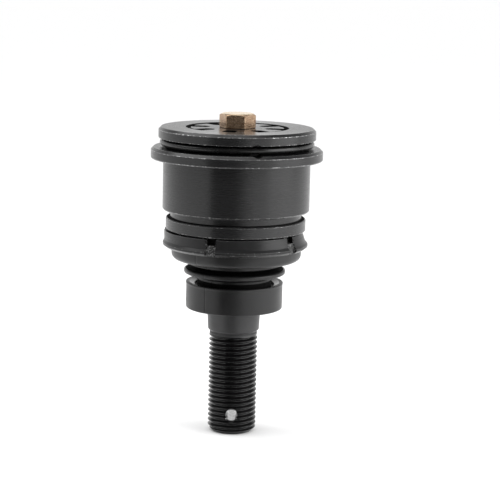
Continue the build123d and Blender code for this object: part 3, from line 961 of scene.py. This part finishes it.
def makeBallStud():
    s = stud
    ballRadius, top, end = radiusOf("ball_stud"), topOf("ball_stud"), bottomOf("ball_stud")
    flatRadius = math.sqrt(ballRadius ** 2 - (ballRadius - s["ballFlat"]) ** 2)
    neckStart = math.sqrt(ballRadius ** 2 - s["neckRadius"] ** 2)
    upper = [(0.0, top - s["drillDepth"], 0.0), (s["drillRadius"], top, 0.0)]
    firstTurn = math.acos(flatRadius / ballRadius)
    lastTurn = -math.asin(neckStart / ballRadius)
    for i in range(s["ballSteps"] + 1):
        turn = firstTurn + (lastTurn - firstTurn) * i / s["ballSteps"]
        upper.append((ballRadius * math.cos(turn), s["ballCentre"] + ballRadius * math.sin(turn), 0.0))
    taperTopRadius = s["taperRadius"] + (s["taperTop"] - s["taperBottom"]) * s["taperRatio"]
    undercutTop = s["taperBottom"] - (s["taperRadius"] - s["reliefRadius"])
    shank = [
        (0.0, s["ballCentre"], 0),
        (s["neckRadius"], s["ballCentre"] - neckStart, 0),
        (s["neckRadius"], s["neckBottom"], 3.0),
        (s["waistRadius"], s["waistTop"], 1.0),
        (s["waistRadius"], s["flareTop"], 0.6),
        (taperTopRadius, s["taperTop"], 2.0),
        (s["taperRadius"], s["taperBottom"], 0.12),
        (s["reliefRadius"], undercutTop, 0.06),
        (s["reliefRadius"] - s["undercut"], undercutTop - s["undercut"] / 2, 0.04),
        (s["reliefRadius"] - s["undercut"], undercutTop - s["undercutWidth"], 0.04),
        (s["reliefRadius"], undercutTop - s["undercutWidth"], 0.04),
        (s["reliefRadius"], s["threadTop"], 0),
        (0.0, s["threadTop"], 0),
    ]
    upper += softened(shank)[2:-1]
    angles = evenAngles(s["around"])
    rows = spun(upper, angles)
    threadLength = s["threadTop"] - end
    count = round(threadLength / s["pitch"] * s["rowsPerPitch"])
    for i in range(1, count + 1):
        height = s["threadTop"] - threadLength * i / count
        below = s["threadTop"] - height
        depth = s["threadDepth"] * min(1.0, below / s["threadFade"])
        crestRadius = min(s["threadRadius"], s["reliefRadius"] + below)
        limit = s["threadRadius"] - max(0.0, s["endChamfer"] - (height - end))
        row = []
        for angle in angles:
            wide = min(crestRadius - depth * threadGroove(angle, height), limit)
            row.append((wide * math.cos(angle), wide * math.sin(angle), height, 0.0))
        rows.append(row)
    rows += spun([(s["drillRadius"], end, 0.0), (0.0, end + s["drillDepth"], 0.0)], angles)
    piece = skinned("ballStud", rows, bend=s["bend"])
    piece.data.materials.append(studSteel("studSteel", s["threadTop"]))
    lead, reach, clear = s["cotterLead"], s["threadRadius"], s["drillClear"]
    flare = s["cotterRadius"] + lead + clear
    drill = [(0.0, reach + clear, 0.0), (flare, reach + clear, 0.0), (s["cotterRadius"], reach - lead, 0.0)]
    drill += [(radius, -height, 0.0) for radius, height, edge in reversed(drill)]
    cotterDrill = skinned("cotterDrill", spun(drill, evenAngles(s["cotterSides"])))
    dressed(cotterDrill, "bored")
    placed(cotterDrill, at(0, 0, s["cotterHeight"]) @ outwards(math.radians(s["cotterAngle"])))
    carved(piece, [cotterDrill], bend=s["bend"])
    fitted(piece, "stud", "stud_steel", "ball_stud")


makeBallStud()
print("stud threaded")

# pieces that keep their solid from the frame
for nodeName, finishName, slotName in (
    ("lock_screw", "lock", "black_steel"),
    ("lock_pad", "pad", "pad_nylon"),
    ("disc_spring", "spring", "spring_steel"),
    ("upper_bearing_cup", "bearing", "sintered_iron"),
    ("lower_bearing_seat", "bearing", "sintered_iron"),
):
    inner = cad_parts[nodeName]
    inner.data.materials.clear()
    dressed(inner, finishName)
print("inner pieces finished")

# floor, light and camera
studio = {
    "floorSize": 20.0, "floorTone": (0.93, 0.93, 0.93), "fibreScale": 300, "fibreShade": 0.98,
    "floorRough": 0.9, "floorGloss": 0.1,
    "back": 0.95, "side": 0.5, "front": 0.16, "ceiling": 0.35, "top": 1.6,
    "turnSpan": 0.75, "ceilingSpan": (0.3, 0.55), "topSpan": (0.92, 0.985),  # 1 is straight back or up
    "overhead": 2.25, "overheadSpread": 120,
    "boxes": {  # name: place, width and height in metres, power
        "rightBox": ((620, -190, 230), 0.6, 0.6, 3.4),
        "leftBox": ((-420, 40, 520), 0.5, 0.5, 1.9),
    },
    "cardNear": 40.0, "cardFar": 360.0, "cardTop": 20.0, "cardLeft": -38, "cardFade": 2, "cardRight": 25,
    "cardLift": 1, "cardDark": (0.04, 0.04, 0.04), "cardLight": (0.8, 0.8, 0.8), "cardRough": 0.95,
}


def makeFloor():
    half = studio["floorSize"] / 2
    level = bottomOf("ball_stud") * mm
    mesh = bpy.data.meshes.new("floor")
    corners = [(-half, -half, level), (half, -half, level), (half, half, level), (-half, half, level)]
    mesh.from_pydata(corners, [], [(0, 1, 2, 3)])
    floor = linked("floor", mesh)
    paper, tree, shader = newFinish("paper")
    fibre = grain(tree, objectPlace(tree), studio["fibreScale"])
    light = studio["floorTone"]
    dark = tuple(part * studio["fibreShade"] for part in light)
    tree.links.new(tinted(tree, fibre, dark, light), shader.inputs["Base Color"])
    shader.inputs["Roughness"].default_value = studio["floorRough"]
    shader.inputs["Specular IOR Level"].default_value = studio["floorGloss"]
    mesh.materials.append(paper)


def makeCard():
    # dark card lying in front and bent up at its far end, seen by shiny faces only; it puts painted dark
    # reflections into them, lighter towards the right
    s = studio
    foot = bottomOf("ball_stud") + s["cardLift"]

    def spot(bearing, reach, height):
        return Vector((reach * math.tan(math.radians(bearing)), -reach, height)) * mm

    corners = []
    for reach, height in ((s["cardNear"], foot), (s["cardFar"], foot), (s["cardFar"], s["cardTop"])):
        corners += [spot(s["cardLeft"], reach, height), spot(s["cardRight"], reach, height)]
    mesh = bpy.data.meshes.new("darkCard")
    mesh.from_pydata(corners, [], [(0, 1, 3, 2), (2, 3, 5, 4)])
    card = linked("darkCard", mesh)
    cloth, tree, shader = newFinish("paintedReflectionCard")
    split = node(tree, "SeparateXYZ", {"Vector": objectPlace(tree)})
    bearing = math2(tree, "ARCTAN2", split.outputs["X"], math2(tree, "MULTIPLY", split.outputs["Y"], -1.0))
    fade = ramp(tree, bearing, math.radians(s["cardFade"]), math.radians(s["cardRight"]))
    # painted reflection: dark on the left, lighter to the right
    tree.links.new(tinted(tree, fade, s["cardDark"], s["cardLight"]), shader.inputs["Base Color"])
    shader.inputs["Roughness"].default_value = s["cardRough"]
    mesh.materials.append(cloth)
    card.visible_camera = False
    card.visible_diffuse = False
    card.visible_shadow = False


def makeLight():
    # soft white all round, brightest overhead, dim on the camera's side, with soft boxes
    s = studio
    world = bpy.data.worlds.new("studio")
    world.use_nodes = True
    tree = world.node_tree
    split = node(tree, "SeparateXYZ", {"Vector": node(tree, "TexCoord").outputs["Generated"]})
    y, z = split.outputs["Y"], split.outputs["Z"]
    around = ramp(tree, y, -s["turnSpan"], 0.0, s["front"], s["side"])
    behind = ramp(tree, y, 0.0, s["turnSpan"], 0.0, s["back"] - s["side"])
    above = ramp(tree, z, *s["ceilingSpan"], 1.0, s["ceiling"])
    level = math2(tree, "MULTIPLY", math2(tree, "ADD", around, behind), above)
    high = ramp(tree, z, *s["topSpan"])
    gap = math2(tree, "SUBTRACT", s["top"], level)
    sky = tree.nodes["Background"]
    sky.inputs["Color"].default_value = (1, 1, 1, 1)
    tree.links.new(math2(tree, "ADD", level, math2(tree, "MULTIPLY", gap, high)), sky.inputs["Strength"])
    bpy.context.scene.world = world
    overhead = bpy.data.lights.new("overhead", "SUN")
    overhead.energy = s["overhead"]
    overhead.angle = math.radians(s["overheadSpread"])
    hung = [(overhead, Matrix())]
    for name, (spot, width, height, power) in s["boxes"].items():
        box = bpy.data.lights.new(name, "AREA")
        box.shape = "RECTANGLE"
        box.size = width
        box.size_y = height
        box.energy = power
        hung.append((box, at(*spot) @ Vector(spot).to_track_quat("Z", "Y").to_matrix().to_4x4()))
    for lamp, spot in hung:
        holder = linked(lamp.name, lamp)
        holder.matrix_world = spot
        holder.visible_camera = False
        holder.visible_glossy = lamp != overhead  # the overhead light leaves no glint


shot = {
    "spot": (10.43, -700.6, 82.92), "pitch": 9.763, "yaw": -0.35, "roll": 1.25,
    "focalPixels": 1731.9, "framePixels": 500, "sensor": 36.0, "near": 0.01, "far": 100,
}


def makeCamera():
    camera = bpy.data.cameras.new("camera")
    camera.sensor_width = shot["sensor"]
    camera.lens = shot["focalPixels"] / shot["framePixels"] * shot["sensor"]
    camera.clip_start = shot["near"]
    camera.clip_end = shot["far"]
    holder = linked("camera", camera)
    turn = Matrix.Rotation(math.radians(-shot["yaw"]), 4, "Z")
    tip = Matrix.Rotation(math.radians(90 - shot["pitch"]), 4, "X")
    roll = Matrix.Rotation(math.radians(shot["roll"]), 4, "Z")
    holder.matrix_world = at(*shot["spot"]) @ turn @ tip @ roll
    bpy.context.scene.camera = holder


makeFloor()
makeCard()
makeLight()
makeCamera()
bpy.context.scene.view_settings.view_transform = "Standard"
print("studio ready")
